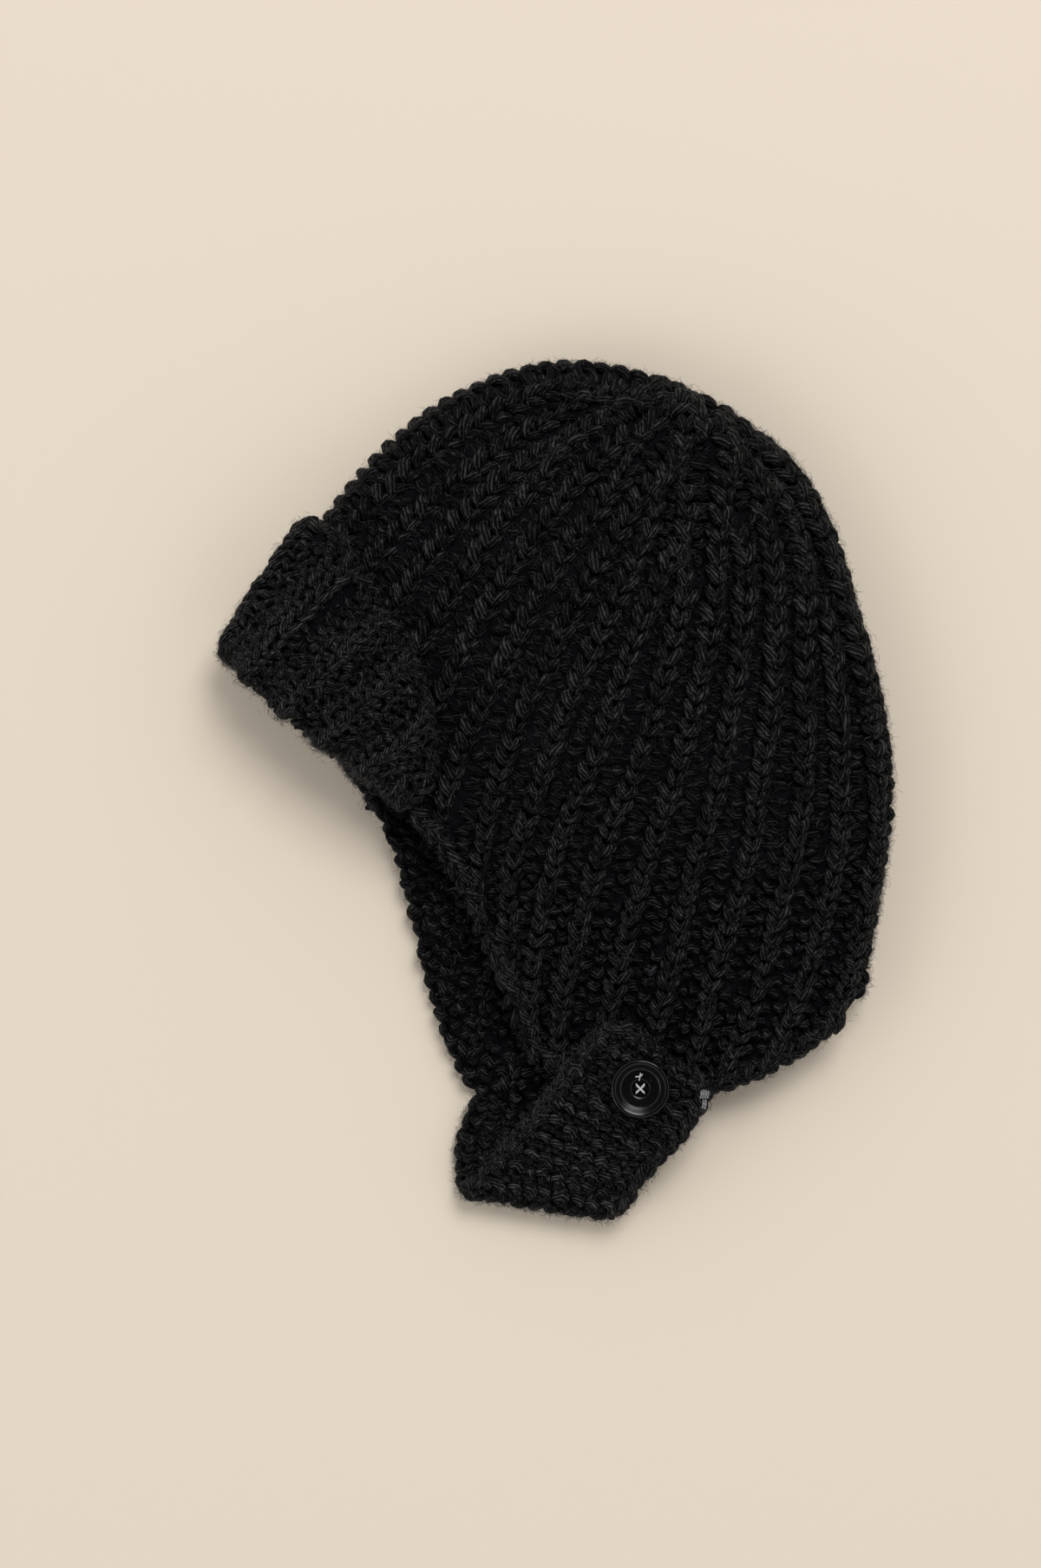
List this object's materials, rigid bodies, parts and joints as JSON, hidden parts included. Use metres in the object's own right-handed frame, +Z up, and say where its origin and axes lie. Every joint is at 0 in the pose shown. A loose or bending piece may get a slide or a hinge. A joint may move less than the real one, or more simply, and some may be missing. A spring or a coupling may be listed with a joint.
{
  "type": "knitted bonnet with buttoned chin strap",
  "caption": "Chunky ribbed knit bonnet lying on its side, with a turned-up front cuff, ear flaps and a garter-stitch chin strap fastened by a dished button.",
  "frame": {"origin": "middle of the bounding box in plan, on the surface that the bonnet lies on", "axes": "+Z up from that surface, +Y from the chin strap to the crown, +X from the face to the back of the head"},
  "size_m": [0.21, 0.2697, 0.038],
  "materials": {
    "knit": "matte chunky wool knit",
    "button": "polished",
    "thread": "twisted sewing thread"
  },
  "bodies": {
    "root": {"crown": "knit", "front_cuff": "knit", "chin_strap": "knit", "button": "button", "button_thread": "thread", "thread_tack": "thread"}
  },
  "joints": []
}
